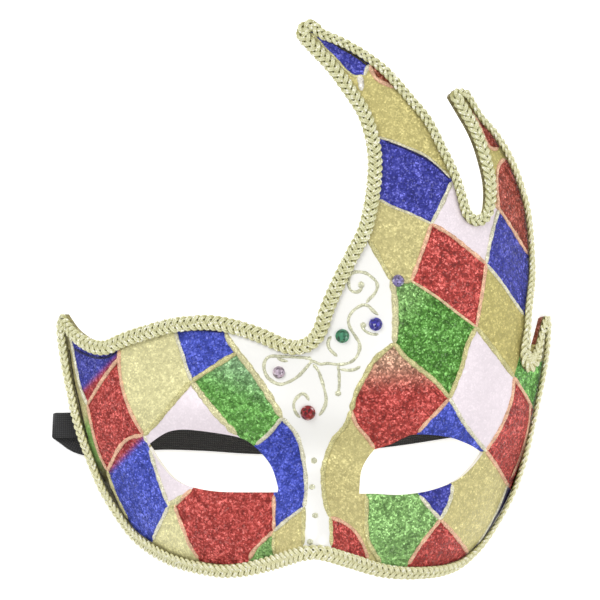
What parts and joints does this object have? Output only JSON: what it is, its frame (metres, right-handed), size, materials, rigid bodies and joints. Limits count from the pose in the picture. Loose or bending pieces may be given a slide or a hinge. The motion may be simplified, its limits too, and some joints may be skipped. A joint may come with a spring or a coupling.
{
  "type": "venetian half mask",
  "caption": "Papier-mache half mask with a flame crest, painted harlequin lozenges, gold braid edging, stick-on stones and a black elastic band, lying face up.",
  "frame": {"origin": "middle of the mask's footprint, with the fold of its elastic band, on the surface that its side rims lie on", "axes": "+Y from the nose up to the crest's tip, +Z out of the face, +X to the right of the mask as seen from the front"},
  "size_m": [0.1788, 0.1986, 0.0596],
  "materials": {
    "painted_paper": "painted and glittered papier-mache, satin",
    "gold_gimp": "plaited metallic thread",
    "stone_clear": "faceted, clear lilac",
    "stone_red": "faceted, deep red",
    "stone_green": "faceted, sea green",
    "stone_blue": "faceted, royal blue",
    "stone_lavender": "faceted, lavender grey",
    "black_elastic": "woven flat elastic, matt"
  },
  "bodies": {
    "root": {"mask_shell": "painted_paper", "braid_trim": "gold_gimp", "gem_clear": "stone_clear", "gem_red": "stone_red", "gem_green": "stone_green", "gem_blue": "stone_blue", "gem_lavender": "stone_lavender", "strap": "black_elastic"}
  },
  "joints": []
}
